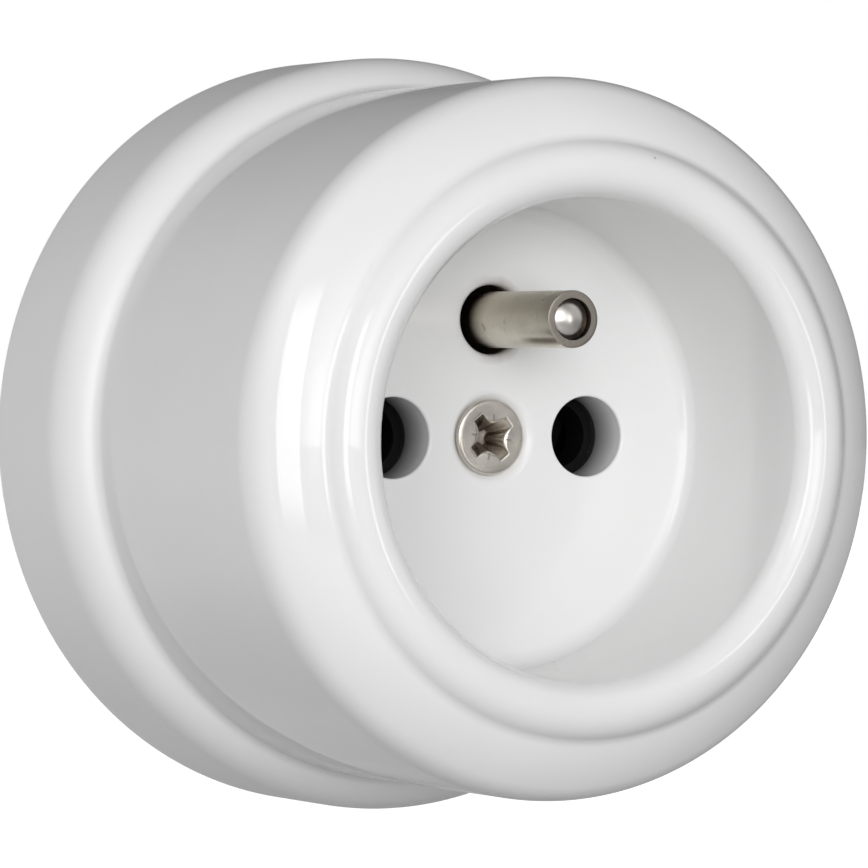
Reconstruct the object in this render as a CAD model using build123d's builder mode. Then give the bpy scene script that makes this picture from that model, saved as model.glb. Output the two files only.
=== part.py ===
"""Surface-mounted porcelain socket outlet with a standing earth pin.

Millimetres. The wall is the plane Y = 0, the front faces -Y and +Z is up.
Depths are measured forward from the wall.
"""
import os
from math import asin, atan2, cos, degrees, hypot, radians, sin, sqrt

from build123d import *

os.makedirs("parts", exist_ok=True)

# plug interface
pin_pitch = 19.0
earth_rise = 10.0
pin_r = 2.4
earth_proud = 13.4
recess_r = 20.05
recess_depth = 18.35

# porcelain walls
floor_t = 5.1
cup_t = 3.4
relief_w = 2.65
wall_t = 4.1
flange_step = 2.9
flange_side = 10.3
ogee_depth = 5.0
ogee_share = 0.78
back_step = 2.3
foot_gap = 0.3
foot_round = 0.6
roll_r = 2.1
bead_r = 2.9
valley_r = 1.8
brow_r = 14.0
shoulder_r = 4.0
shoulder_turn = 42.0
shoulder_drop = 7.35
floor_round = 1.4
wall_draft = 0.15
hole_margin = 1.05
hole_round = 0.25
earth_margin = 0.55
earth_round = 0.4

# stack behind the porcelain floor
base_t = 6.0
block_t = 9.5
shutter_t = 4.8
shutter_play = 0.2
plate_t = 3.0
seat_gap = 0.1

# base
base_play = 0.45
base_chamfer = 0.6
relief_r = 14.0
relief_depth = 0.8
wall_pcd = 45.0
wall_hole_r = 2.2
wall_head_r = 4.2
wall_head_depth = 2.0
cable_r = 4.6
cable_gap = 0.4
peg_r = 1.5
peg_l = 1.4
peg_x = 8.0
peg_z = 9.5

# cover screw and centre bolt
screw_r = 1.7
head_r = 3.25
head_sink = 0.02
screw_l = 13.5
thread_play = 0.05
clear_r = 2.1
head_edge = 0.45
head_round = 0.35
cone_play = 0.12
sink_round = 0.9
cross_span = 4.25
cross_arm = 1.05
cross_web = 1.3
cross_narrow = 0.36
cross_depth = 2.1
cross_turn = 37.0
tick_r = 1.68
tick_l = 0.55
tick_w = 0.16
tick_depth = 0.12
bolt_r = 3.0
bolt_flange_r = 5.0
bolt_flange_t = 1.5
bolt_play = 0.08
nut_flats = 10.0
nut_t = 2.0
nut_play = 0.2
washer_t = 0.6
bolt_tail = 0.2

# contacts and terminals
strip_t = 0.8
strip_w = 4.4
strip_lift = 2.0
pinch = 0.3
fork_w = 5.0
fork_play = 0.6
cage_l = 7.0
cage_w = 7.0
tail_short = 0.5
blade_side = 0.9
blade_rise = 2.0
grip_drop = 2.7
fold_r = 0.7
term_tip = 0.8
term_gap = 0.5
term_turn = 35.0
cage_back = 1.0
cage_room = 3.6
slot_w = 0.8
slot_depth = 1.0
term_screw_r = 1.7
term_head_r = 3.0
term_head_t = 1.9
term_head_lift = 0.3
pocket_play = 0.2

# shutter, its spring and its cap
hole_play = 0.4
wing_cover = 0.5
wing_lip = 0.9
wing_back = 0.8
tip_gap = 1.2
skirt_t = 1.5
stop_gap = 0.3
stop_w = 1.4
tunnel_t = 1.05
tunnel_play = 0.15
groove_wall = 0.9
groove_w = 1.7
groove_depth = 2.8
wire_r = 0.28
coil_pitch = 0.72
coil_turns = 2.5
leg_l = 1.4
coil_lift = 0.1
hub_lap = 0.2
track_ease = 6.0

# earth pin
sleeve_t = 0.65
neck_step = 0.2
neck_stand = 0.2
core_play = 0.04
core_sink = 0.62
dome_rise = 0.55
collar_r = 3.4
collar_t = 1.5
rivet_r = 2.8
rivet_t = 0.8
tip_chamfer = 0.06

# depths of the stack, from the wall forward
block_front = base_t + block_t
shutter_back = block_front + shutter_play
shutter_front = shutter_back + shutter_t
plate_back = shutter_front + shutter_play
plate_front = plate_back + plate_t
floor_back = plate_front + seat_gap
floor_front = floor_back + floor_t
rim = floor_front + recess_depth
strip_back = base_t + strip_lift
strip_front = strip_back + strip_t
earth_tip = floor_front + earth_proud

# radii of the cover, from the recess outward
pin_x = pin_pitch / 2
cup_r = recess_r + cup_t
cavity_r = cup_r + relief_w
drum_r = cavity_r + wall_t
flange_r = drum_r + flange_step
back_r = cavity_r + back_step
base_r = back_r - base_play
ogee_turn = 2 * atan2(flange_step, ogee_depth)
ogee_r = ogee_share * ogee_depth / sin(ogee_turn)
ogee_x = flange_r - ogee_r * (1 - cos(ogee_turn))
ogee_d = flange_side + ogee_r * sin(ogee_turn)
shoulder_x = drum_r - shoulder_r
shoulder_d = rim - shoulder_drop
lean_x = sin(radians(shoulder_turn))
lean_d = cos(radians(shoulder_turn))
shoulder_end = (shoulder_x + shoulder_r * lean_x, shoulder_d + shoulder_r * lean_d)
brow_x = shoulder_x + (shoulder_r - brow_r) * lean_x
brow_d = shoulder_d + (shoulder_r - brow_r) * lean_d
bead_x = recess_r + roll_r
bead_d = rim - bead_r
relief_end = shoulder_d - relief_w
pin_hole_r = pin_r + hole_margin
earth_hole_r = pin_r + earth_margin
sink_r = head_r + head_sink + head_edge + cone_play

# centre of the valley arc that touches both the brow and the rim bead
span_x = brow_x - bead_x
span_d = brow_d - bead_d
span = hypot(span_x, span_d)
along = (span**2 + (bead_r + valley_r) ** 2 - (brow_r + valley_r) ** 2) / (2 * span)
aside = sqrt((bead_r + valley_r) ** 2 - along**2)
valley_x = bead_x + (along * span_x - aside * span_d) / span
valley_d = bead_d + (along * span_d + aside * span_x) / span
on_bead = bead_r / (bead_r + valley_r)
on_brow = brow_r / (brow_r + valley_r)
bead_end = (bead_x + on_bead * (valley_x - bead_x), bead_d + on_bead * (valley_d - bead_d))
brow_end = (brow_x + on_brow * (valley_x - brow_x), brow_d + on_brow * (valley_d - brow_d))

# radii of the inner stack, from the pins outward
cap_hole_r = pin_r + hole_play
wing_half = cap_hole_r + wing_cover
tip_r = pin_x + wing_half
cap_in_r = tip_r + tip_gap
cap_r = cap_in_r + skirt_t
term_x = cap_r + term_head_r + term_gap
block_r = term_x + cage_l / 2 + term_gap
block_low = cap_r + term_gap
cable_z = -(block_low + cable_gap + cable_r)
swing = degrees(asin((wing_half + pin_r + hole_play) / pin_x))
groove_in = bolt_r + groove_wall
groove_out = groove_in + groove_w
coil_r = (groove_in + groove_out) / 2
hub_r = groove_out + hub_lap
tunnel_in = pin_r + tunnel_play
tunnel_r = tunnel_in + tunnel_t
washer_r = nut_flats / 2
grip_z = pin_r - pinch + strip_t / 2
blade_z = pin_r + blade_side
lip_z = blade_z + 0.1
tail_end = term_x + cage_l / 2 - tail_short
cage_d = strip_back - cage_back
sleeve_in = pin_r - sleeve_t
core_r = sleeve_in - core_play
neck_r = pin_r - neck_step
core_top = earth_tip - core_sink
head_front = floor_front - head_sink
coil_d = block_front - groove_depth + wire_r + coil_lift
coil_h = coil_pitch * coil_turns
track_start = 90 - track_ease - swing
track_arc = swing + 2 * track_ease
nut_front = relief_depth + nut_t + washer_t


def front(depth):
    """Sketch plane at a depth from the wall, seen from the front."""
    return Plane.XZ.offset(depth)


def turning(x=0, z=0):
    """Sketch plane of radius and depth through an axis square to the wall."""
    return Plane(origin=(x, 0, z), x_dir=(1, 0, 0), z_dir=(0, 0, -1))


def axis_at(x=0, z=0):
    """Axis square to the wall."""
    return Axis((x, 0, z), (0, 1, 0))


def across(x):
    """Sketch plane of height and depth at a distance to the right of the middle."""
    return Plane(origin=(x, 0, 0), x_dir=(0, 0, 1), z_dir=(1, 0, 0))


# porcelain cover: flange, drum, beaded rim and plug recess in one fired piece
with BuildPart() as cover:
    with BuildSketch(turning()):
        with BuildLine():
            foot = Line((back_r, foot_gap), (flange_r - foot_round, foot_gap))
            heel = TangentArc(foot @ 1, (flange_r, foot_gap + foot_round), tangent=(1, 0))
            side = Line(heel @ 1, (flange_r, flange_side))
            swell = TangentArc(side @ 1, (ogee_x, ogee_d), tangent=(0, 1))
            root = TangentArc(swell @ 1, (drum_r, flange_side + ogee_depth), tangent=swell % 1)
            drum = Line(root @ 1, (drum_r, shoulder_d))
            shoulder = TangentArc(drum @ 1, shoulder_end, tangent=(0, 1))
            brow = TangentArc(shoulder @ 1, brow_end, tangent=shoulder % 1)
            valley = TangentArc(brow @ 1, bead_end, tangent=brow % 1)
            bead = TangentArc(valley @ 1, (bead_x, rim), tangent=valley % 1)
            roll = TangentArc(bead @ 1, (recess_r, rim - roll_r), tangent=(-1, 0))
            wall = Line(roll @ 1, (recess_r - wall_draft, floor_front))
            floor = Line(wall @ 1, (0, floor_front))
            middle = Line(floor @ 1, (0, floor_back))
            under = Line(middle @ 1, (cup_r - wall_draft, floor_back))
            cup = Line(under @ 1, (cup_r, relief_end))
            relief = Line(cup @ 1, (cavity_r, relief_end))
            shell = Line(relief @ 1, (cavity_r, block_front))
            draft = Line(shell @ 1, (back_r, flange_side))
            Line(draft @ 1, foot @ 0)
        make_face()
        floor_corner = vertices().sort_by_distance((recess_r - wall_draft, floor_front, 0))[0]
        fillet(floor_corner, floor_round)
    revolve(axis=Axis.Y)
    with BuildSketch(front(floor_back)):
        with Locations((-pin_x, 0), (pin_x, 0)):
            Circle(pin_hole_r)
    extrude(amount=floor_t, mode=Mode.SUBTRACT)
    pin_rims = edges().filter_by(GeomType.CIRCLE).filter_by(lambda e: abs(e.radius - pin_hole_r) < 0.01)
    fillet(pin_rims.group_by(Axis.Y)[0], hole_round)
    with BuildSketch(front(floor_back)):
        with Locations((0, earth_rise)):
            Circle(earth_hole_r)
    extrude(amount=floor_t, mode=Mode.SUBTRACT)
    earth_rims = edges().filter_by(GeomType.CIRCLE).filter_by(lambda e: abs(e.radius - earth_hole_r) < 0.01)
    fillet(earth_rims.group_by(Axis.Y)[0], earth_round)
    with BuildSketch(turning()):
        with BuildLine():
            Polyline(
                (0, floor_back - 1),
                (clear_r, floor_back - 1),
                (clear_r, floor_front - sink_r + clear_r),
                (sink_r, floor_front),
                (sink_r, floor_front + 1),
                (0, floor_front + 1),
                close=True,
            )
        make_face()
    revolve(axis=Axis.Y, mode=Mode.SUBTRACT)
    sink_rim = edges().filter_by(GeomType.CIRCLE).filter_by(lambda e: abs(e.radius - sink_r) < 0.01)
    fillet(sink_rim, sink_round)
cover.part.label = "cover"
export_step(cover.part, "parts/cover.step")

# porcelain base disc that is screwed to the wall
with BuildPart() as base:
    with BuildSketch(front(0)):
        Circle(base_r)
    extrude(amount=base_t)
    chamfer(edges().filter_by(GeomType.CIRCLE), base_chamfer)
    with BuildSketch(front(0)):
        Circle(relief_r)
    extrude(amount=relief_depth, mode=Mode.SUBTRACT)
    with BuildSketch(front(0)):
        RegularPolygon(nut_flats / 2 + nut_play, 6, major_radius=False)
    extrude(amount=nut_front, mode=Mode.SUBTRACT)
    with BuildSketch(front(0)):
        Circle(bolt_r + bolt_play)
    extrude(amount=base_t, mode=Mode.SUBTRACT)
    with BuildSketch(front(0)):
        with PolarLocations(wall_pcd / 2, 2, start_angle=135):
            Circle(wall_hole_r)
        with Locations((0, cable_z)):
            Circle(cable_r)
    extrude(amount=base_t, mode=Mode.SUBTRACT)
    with BuildSketch(front(base_t)):
        with PolarLocations(wall_pcd / 2, 2, start_angle=135):
            Circle(wall_head_r)
    extrude(amount=-wall_head_depth, mode=Mode.SUBTRACT)
    with BuildSketch(front(base_t)):
        with Locations((-peg_x, -peg_z), (peg_x, -peg_z)):
            Circle(peg_r + pocket_play)
    extrude(amount=-(peg_l + pocket_play), mode=Mode.SUBTRACT)
base.part.label = "base"
export_step(base.part, "parts/base.step")

# black moulded block that carries the contacts and terminals
with BuildPart() as contact_block:
    with BuildSketch(front(base_t)):
        Circle(block_r)
        with Locations((0, -block_low - block_r)):
            Rectangle(4 * block_r, 2 * block_r, mode=Mode.SUBTRACT)
        with PolarLocations(wall_pcd / 2, 4, start_angle=45):
            Circle(wall_head_r + 1, mode=Mode.SUBTRACT)
        Circle(bolt_r + bolt_play, mode=Mode.SUBTRACT)
    extrude(amount=block_t)
    with BuildSketch(front(base_t)):
        with Locations((-peg_x, -peg_z), (peg_x, -peg_z)):
            Circle(peg_r)
    extrude(amount=-peg_l)
    with BuildSketch(front(block_front)):
        with Locations((-pin_x, 0), (pin_x, 0)):
            Rectangle(fork_w + 2 * fork_play, 2 * (pin_r + 2.2))
        with Locations((-(pin_x + term_x) / 2, 0), ((pin_x + term_x) / 2, 0)):
            Rectangle(term_x - pin_x, strip_w + 2 * pocket_play)
        with Locations((0, (earth_rise + term_x) / 2)):
            Rectangle(strip_w + 2 * pocket_play, term_x - earth_rise)
        with Locations((0, earth_rise)):
            Circle(collar_r + pocket_play)
    extrude(amount=-(block_front - strip_back), mode=Mode.SUBTRACT)
    with BuildSketch(front(block_front)):
        with PolarLocations(term_x, 3, start_angle=0, angular_range=180, endpoint=True):
            Rectangle(cage_l + 2 * pocket_play, cage_w + 2 * pocket_play)
    extrude(amount=-(block_front - strip_back + cage_back), mode=Mode.SUBTRACT)
    with BuildSketch(front(strip_back)):
        with Locations((0, earth_rise)):
            Circle(rivet_r + pocket_play)
    extrude(amount=-(rivet_t + pocket_play), mode=Mode.SUBTRACT)
    with BuildSketch(front(block_front)):
        Circle(groove_out)
        Circle(groove_in, mode=Mode.SUBTRACT)
    extrude(amount=-groove_depth, mode=Mode.SUBTRACT)
    with BuildSketch(front(block_front)):
        with Locations((0, -coil_r)):
            Circle(wire_r + pocket_play)
    extrude(amount=-(groove_depth + leg_l), mode=Mode.SUBTRACT)
contact_block.part.label = "contact_block"
export_step(contact_block.part, "parts/contact_block.step")

# black cap over the shutter: front plate, skirt, earth pin tunnel and shutter stops
with BuildPart() as shutter_cap:
    with BuildSketch(front(block_front)):
        Circle(cap_r)
    extrude(amount=plate_front - block_front)
    with BuildSketch(front(block_front)):
        Circle(cap_in_r)
    extrude(amount=plate_back - block_front, mode=Mode.SUBTRACT)
    with BuildSketch(front(block_front)):
        with Locations((0, earth_rise)):
            Circle(tunnel_r)
        with PolarLocations(0, 2):
            with Locations((tip_r, -(wing_half + stop_gap + stop_w / 2))):
                Rectangle(2 * tip_gap, stop_w)
        with PolarLocations(0, 2, start_angle=swing):
            with Locations((tip_r, wing_half + stop_gap + stop_w / 2)):
                Rectangle(2 * tip_gap, stop_w)
    extrude(amount=plate_back - block_front)
    with BuildSketch(front(block_front)):
        with Locations((-pin_x, 0), (pin_x, 0)):
            Circle(cap_hole_r)
        with Locations((0, earth_rise)):
            Circle(tunnel_in)
        Circle(bolt_r + bolt_play)
    extrude(amount=plate_front - block_front, mode=Mode.SUBTRACT)
    with BuildSketch(front(plate_front)):
        Circle(bolt_flange_r + seat_gap)
    extrude(amount=-(bolt_flange_t + seat_gap), mode=Mode.SUBTRACT)
shutter_cap.part.label = "shutter_cap"
export_step(shutter_cap.part, "parts/shutter_cap.step")

# shutter: a hub that turns on the centre bolt, with a ramped wing behind each pin hole
with BuildPart() as shutter:
    with BuildSketch(across(0)):
        with BuildLine():
            Polyline(
                (-wing_half, shutter_back),
                (wing_half, shutter_back),
                (wing_half, shutter_front),
                (wing_half - wing_lip, shutter_front),
                (-wing_half, shutter_back + wing_back),
                close=True,
            )
        make_face()
    extrude(amount=tip_r)
    add(shutter.part.rotate(Axis.Y, 180))
    with BuildSketch(front(shutter_back)):
        Circle(tip_r)
    extrude(amount=shutter_t, mode=Mode.INTERSECT)
    with BuildSketch(front(shutter_back)):
        Circle(hub_r)
    extrude(amount=shutter_t)
    with BuildSketch(front(shutter_back)):
        Circle(bolt_r + bolt_play)
    extrude(amount=shutter_t, mode=Mode.SUBTRACT)
    with BuildSketch(front(shutter_back)):
        with BuildLine():
            track_in = CenterArc((0, 0), coil_r - wire_r - pocket_play, track_start, track_arc)
            track_out = CenterArc((0, 0), coil_r + wire_r + pocket_play, track_start, track_arc)
            Line(track_in @ 0, track_out @ 0)
            Line(track_in @ 1, track_out @ 1)
        make_face()
    extrude(amount=leg_l + pocket_play, mode=Mode.SUBTRACT)
shutter.part.label = "shutter"
export_step(shutter.part, "parts/shutter.step")

# return spring of the shutter, coiled round the centre bolt in the block's groove
with BuildPart() as shutter_spring:
    with BuildLine():
        coil = Helix(coil_pitch, coil_h, coil_r, center=(0, -coil_d, 0), direction=(0, -1, 0))
    with BuildSketch(Plane(coil @ 0, z_dir=coil % 0)):
        RegularPolygon(wire_r, 6)
    sweep(path=coil)
    with BuildSketch(front(coil_d)):
        with Locations((0, -coil_r)):
            Circle(wire_r)
    extrude(amount=-leg_l)
    with BuildSketch(front(coil_d + coil_h)):
        with Locations((0, coil_r)):
            Circle(wire_r)
    extrude(amount=shutter_back + leg_l - coil_d - coil_h)
shutter_spring.part.label = "shutter_spring"
export_step(shutter_spring.part, "parts/shutter_spring.step")

# hollow flanged bolt that holds base, block and cap together and takes the cover screw
with BuildPart() as centre_bolt:
    with BuildSketch(turning()):
        with BuildLine():
            Polyline(
                (0, relief_depth - bolt_tail),
                (bolt_r, relief_depth - bolt_tail),
                (bolt_r, plate_front - bolt_flange_t),
                (bolt_flange_r, plate_front - bolt_flange_t),
                (bolt_flange_r, plate_front),
                (screw_r + thread_play, plate_front),
                (screw_r + thread_play, head_front - screw_l - 1),
                (0, head_front - screw_l - 1.8),
                close=True,
            )
        make_face()
    revolve(axis=Axis.Y)
    with BuildSketch(front(plate_front)):
        Rectangle(3 * bolt_flange_r, slot_w)
    extrude(amount=-slot_depth, mode=Mode.SUBTRACT)
centre_bolt.part.label = "centre_bolt"
export_step(centre_bolt.part, "parts/centre_bolt.step")

with BuildPart() as centre_nut:
    with BuildSketch(front(relief_depth)):
        RegularPolygon(nut_flats / 2, 6, major_radius=False)
        Circle(bolt_r + thread_play, mode=Mode.SUBTRACT)
    extrude(amount=nut_t)
centre_nut.part.label = "centre_nut"
export_step(centre_nut.part, "parts/centre_nut.step")

with BuildPart() as centre_washer:
    with BuildSketch(front(relief_depth + nut_t)):
        Circle(washer_r)
        Circle(bolt_r + bolt_play, mode=Mode.SUBTRACT)
    extrude(amount=washer_t)
centre_washer.part.label = "centre_washer"
export_step(centre_washer.part, "parts/centre_washer.step")

# countersunk screw that clamps the cover, with a cross recess that narrows inward
with BuildPart() as cover_screw:
    with BuildSketch(turning()):
        with BuildLine():
            Polyline(
                (0, head_front),
                (head_r, head_front),
                (head_r, head_front - head_edge),
                (screw_r, head_front - head_edge - head_r + screw_r),
                (screw_r, head_front - screw_l + 0.5),
                (screw_r - 0.5, head_front - screw_l),
                (0, head_front - screw_l),
                close=True,
            )
        make_face()
    revolve(axis=Axis.Y)
    fillet(edges().filter_by(GeomType.CIRCLE).sort_by(Axis.Y)[0], head_round)
    with BuildSketch(front(head_front)) as mouth:
        Rectangle(cross_span, cross_arm, rotation=cross_turn)
        Rectangle(cross_span, cross_arm, rotation=cross_turn + 90)
        fillet(mouth.vertices().sort_by_distance((0, 0, 0))[0:4], cross_web)
    with BuildSketch(front(head_front - cross_depth)):
        add(mouth.sketch_local.scale(cross_narrow))
    loft(mode=Mode.SUBTRACT)
    with BuildSketch(front(head_front)):
        with PolarLocations(tick_r, 4, start_angle=cross_turn + 45):
            Rectangle(tick_l, tick_w)
    extrude(amount=-tick_depth, mode=Mode.SUBTRACT)
cover_screw.part.label = "cover_screw"
export_step(cover_screw.part, "parts/cover_screw.step")

# contact strip folded into a fork that grips the plug pin, with a tail to the terminal
with BuildPart() as line_contact:
    with BuildSketch(across(-pin_x - fork_w / 2)):
        with BuildLine():
            FilletPolyline(
                (-lip_z, block_front - 0.5),
                (-grip_z, block_front - grip_drop),
                (-blade_z, strip_back + blade_rise),
                (-blade_z, strip_back + strip_t / 2),
                (blade_z, strip_back + strip_t / 2),
                (blade_z, strip_back + blade_rise),
                (grip_z, block_front - grip_drop),
                (lip_z, block_front - 0.5),
                radius=fold_r,
            )
        trace(line_width=strip_t)
    extrude(amount=fork_w)
    with BuildSketch(front(strip_back)):
        with Locations((-(pin_x + tail_end) / 2, 0)):
            Rectangle(tail_end - pin_x, strip_w)
    extrude(amount=strip_t)
line_contact.part.label = "line_contact"
export_step(line_contact.part, "parts/line_contact.step")

with BuildPart() as neutral_contact:
    mirror(line_contact.part, about=Plane.YZ)
neutral_contact.part.label = "neutral_contact"
export_step(neutral_contact.part, "parts/neutral_contact.step")

# brass cage with a passage for strip and wire and a threaded front wall
with BuildPart() as line_terminal:
    with BuildSketch(front(cage_d)):
        with Locations((-term_x, 0)):
            Rectangle(cage_l, cage_w)
    extrude(amount=block_front - cage_d)
    with BuildSketch(across(-term_x - cage_l / 2)):
        with Locations((0, strip_back + cage_room / 2)):
            Rectangle(strip_w + 2 * pocket_play, cage_room)
    extrude(amount=cage_l, mode=Mode.SUBTRACT)
    with BuildSketch(front(block_front)):
        with Locations((-term_x, 0)):
            Circle(term_screw_r + thread_play)
    extrude(amount=-(block_front - strip_front - cage_room / 2), mode=Mode.SUBTRACT)
line_terminal.part.label = "line_terminal"
export_step(line_terminal.part, "parts/line_terminal.step")

with BuildPart() as neutral_terminal:
    mirror(line_terminal.part, about=Plane.YZ)
neutral_terminal.part.label = "neutral_terminal"
export_step(neutral_terminal.part, "parts/neutral_terminal.step")

with BuildPart() as earth_terminal:
    add(line_terminal.part.rotate(Axis.Y, 90))
earth_terminal.part.label = "earth_terminal"
export_step(earth_terminal.part, "parts/earth_terminal.step")

# slotted cheese-head screw of a terminal
with BuildPart() as line_terminal_screw:
    with BuildSketch(turning(-term_x)):
        with BuildLine():
            Polyline(
                (0, strip_front + term_tip),
                (term_screw_r - 0.4, strip_front + term_tip),
                (term_screw_r, strip_front + term_tip + 0.4),
                (term_screw_r, block_front + term_head_lift),
                (term_head_r, block_front + term_head_lift),
                (term_head_r, block_front + term_head_lift + term_head_t),
                (0, block_front + term_head_lift + term_head_t),
                close=True,
            )
        make_face()
    revolve(axis=axis_at(-term_x))
    with BuildSketch(front(block_front + term_head_lift + term_head_t)):
        with Locations((-term_x, 0)):
            Rectangle(3 * term_head_r, slot_w, rotation=term_turn)
    extrude(amount=-slot_depth, mode=Mode.SUBTRACT)
line_terminal_screw.part.label = "line_terminal_screw"
export_step(line_terminal_screw.part, "parts/line_terminal_screw.step")

with BuildPart() as neutral_terminal_screw:
    mirror(line_terminal_screw.part, about=Plane.YZ)
neutral_terminal_screw.part.label = "neutral_terminal_screw"
export_step(neutral_terminal_screw.part, "parts/neutral_terminal_screw.step")

with BuildPart() as earth_terminal_screw:
    add(line_terminal_screw.part.rotate(Axis.Y, 90))
earth_terminal_screw.part.label = "earth_terminal_screw"
export_step(earth_terminal_screw.part, "parts/earth_terminal_screw.step")

# strip from the foot of the earth pin to the earth terminal
with BuildPart() as earth_strap:
    with BuildSketch(front(strip_back)):
        with Locations((0, (earth_rise + tail_end) / 2)):
            Rectangle(strip_w, tail_end - earth_rise)
        with Locations((0, earth_rise)):
            Circle(collar_r)
            Circle(core_r + thread_play, mode=Mode.SUBTRACT)
    extrude(amount=strip_t)
earth_strap.part.label = "earth_strap"
export_step(earth_strap.part, "parts/earth_strap.step")

# tube of the earth pin, with a collar on the strap and a slimmer neck up to the recess floor
with BuildPart() as earth_pin_sleeve:
    with BuildSketch(turning(0, earth_rise)):
        with BuildLine():
            Polyline(
                (sleeve_in, strip_front),
                (collar_r, strip_front),
                (collar_r, strip_front + collar_t),
                (neck_r, strip_front + collar_t),
                (neck_r, floor_front + neck_stand),
                (pin_r, floor_front + neck_stand),
                (pin_r, earth_tip - tip_chamfer),
                (pin_r - tip_chamfer, earth_tip),
                (sleeve_in, earth_tip),
                close=True,
            )
        make_face()
    revolve(axis=axis_at(0, earth_rise))
earth_pin_sleeve.part.label = "earth_pin_sleeve"
export_step(earth_pin_sleeve.part, "parts/earth_pin_sleeve.step")

# core of the earth pin: riveted under the strap, domed inside the end of the tube
with BuildPart() as earth_pin_core:
    with BuildSketch(turning(0, earth_rise)):
        with BuildLine():
            rivet = Polyline(
                (0, strip_back - rivet_t),
                (rivet_r, strip_back - rivet_t),
                (rivet_r, strip_back),
                (core_r, strip_back),
                (core_r, core_top),
            )
            dome = TangentArc((0, core_top + dome_rise), (core_r, core_top), tangent=(1, 0))
            Line(dome @ 0, rivet @ 0)
        make_face()
    revolve(axis=axis_at(0, earth_rise))
earth_pin_core.part.label = "earth_pin_core"
export_step(earth_pin_core.part, "parts/earth_pin_core.step")
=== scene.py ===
"""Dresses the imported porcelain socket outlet: fine turned glaze, plated metal, studio light and camera."""

from math import atan2, cos, degrees, hypot, pi, radians, sin, sqrt

import bmesh
import bpy
from mathutils import Matrix, Vector


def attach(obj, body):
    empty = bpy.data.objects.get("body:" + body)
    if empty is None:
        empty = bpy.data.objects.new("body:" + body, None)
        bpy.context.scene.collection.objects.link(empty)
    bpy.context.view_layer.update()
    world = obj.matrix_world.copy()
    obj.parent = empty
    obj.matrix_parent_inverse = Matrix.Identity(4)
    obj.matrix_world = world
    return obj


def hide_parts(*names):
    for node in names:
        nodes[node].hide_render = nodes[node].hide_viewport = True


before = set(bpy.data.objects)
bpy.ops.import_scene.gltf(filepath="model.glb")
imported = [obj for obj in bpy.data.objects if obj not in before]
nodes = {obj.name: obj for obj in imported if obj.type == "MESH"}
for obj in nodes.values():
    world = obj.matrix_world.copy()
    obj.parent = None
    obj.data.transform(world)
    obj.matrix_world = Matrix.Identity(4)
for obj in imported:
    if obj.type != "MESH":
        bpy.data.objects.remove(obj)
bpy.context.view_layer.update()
scene = bpy.context.scene

# sizes are in millimetres, as in the part's source, and the scene is in metres
mm = 0.001

# porcelain
recess_r, recess_depth = 20.05, 18.35
floor_back, floor_front = 23.8, 28.9
rim = floor_front + recess_depth
cup_r, cavity_r, drum_r, flange_r, back_r = 23.45, 26.1, 30.2, 33.1, 28.4
flange_side, ogee_depth, ogee_share = 10.3, 5.0, 0.78
foot_gap, foot_round, block_front = 0.3, 0.6, 15.5
roll_r, bead_r, valley_r = 2.1, 2.9, 1.8
brow_r, shoulder_r, shoulder_turn, shoulder_drop = 14.0, 4.0, 42.0, 7.35
floor_round, wall_draft, relief_w = 1.4, 0.15, 2.65
pin_x, pin_hole_r, hole_round = 9.5, 3.45, 0.25
earth_z, earth_hole_r, earth_round = 10.0, 2.95, 0.4
clear_r, sink_r, sink_round = 2.1, 3.84, 0.9

# earth pin
pin_r, sleeve_in, core_r = 2.4, 1.75, 1.71
neck_r, neck_top, collar_r = 2.2, 29.1, 3.4
strip_back, strip_front, collar_front = 8.0, 8.8, 10.3
rivet_r, rivet_back = 2.8, 7.2
earth_tip, tip_edge, core_sink, dome_rise = 42.3, 0.06, 0.62, 0.55

# cover screw
screw_r, screw_l, screw_point = 1.7, 13.5, 0.5
head_r, head_front, head_edge, head_round = 3.25, 28.88, 0.45, 0.22
cross_span, cross_arm, cross_web, cross_narrow = 4.25, 1.05, 1.3, 0.36
cross_depth, cross_turn, cross_soft = 2.1, 37.0, 0.09
tick_r, tick_l, tick_w = 1.68, 0.55, 0.16

# marks in the glaze: fired specks, bare foot, softer gloss at the flange and on the recess wall
specks = (5.26, -46.65, 23.33), (5.16, -30.72, -19.22), (3.32, -34.3, -19.66)
speck_r, speck_fade = 0.05, 0.18
bare_foot, glazed_foot = 0.3, 0.6
soft_flange, glossy_drum = 14.5, 16.8
soft_wall_in, soft_wall_out, soft_wall_fade = 19.6, 20.1, 0.3

# painted shade and shadow in the holes and on the earth pin, and a dark streak on the pin, as depths below
# the recess floor and distances from the earth pin's axis
hole_shade_from, deepest_shade_from, deepest_shade_to = 0.9, 4.2, 4.4
earth_shade_from, earth_shade_to, pin_shadow_in, pin_shadow_out = 0.1, 1.2, 3.2, 4.2
upper_shade_low, upper_shade_high = -0.6, 1.8
streak_drop, streak_half, streak_fade, streak_front, streak_back = 1.75, 0.08, 0.32, 38.5, 36.5
root_front, root_back = 31.8, 29.2
shade_r, shade_front, shade_back = 2.3, 28.5, 27.2

# tones
porcelain_low, porcelain_high = (0.79, 0.79, 0.79), (0.815, 0.815, 0.815)
speck_brown, foot_clay = (0.2, 0.19, 0.17), (0.78, 0.755, 0.71)
bisque_low, bisque_high = (0.74, 0.72, 0.68), (0.82, 0.8, 0.765)
# the tones below paint shade and shadow in the holes, on the earth pin and in the screw's recess, apart from
# the streak tone and the tube's end tone
hole_shade_tone, pin_shadow_tone, earth_hole_shade_tone = (0.02, 0.019, 0.02), (0.2, 0.145, 0.095), (0.08, 0.052, 0.03)
upper_shade_tone, streak_tone, root_shade_tone = (0.37, 0.315, 0.22), (0.16, 0.13, 0.09), (0.075, 0.05, 0.03)
end_tone, bore_shade_tone = (0.37, 0.335, 0.295), (0.055, 0.042, 0.034)
cross_shade, tick_shade = (0.16, 0.13, 0.11), (0.25, 0.21, 0.18)


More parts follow.
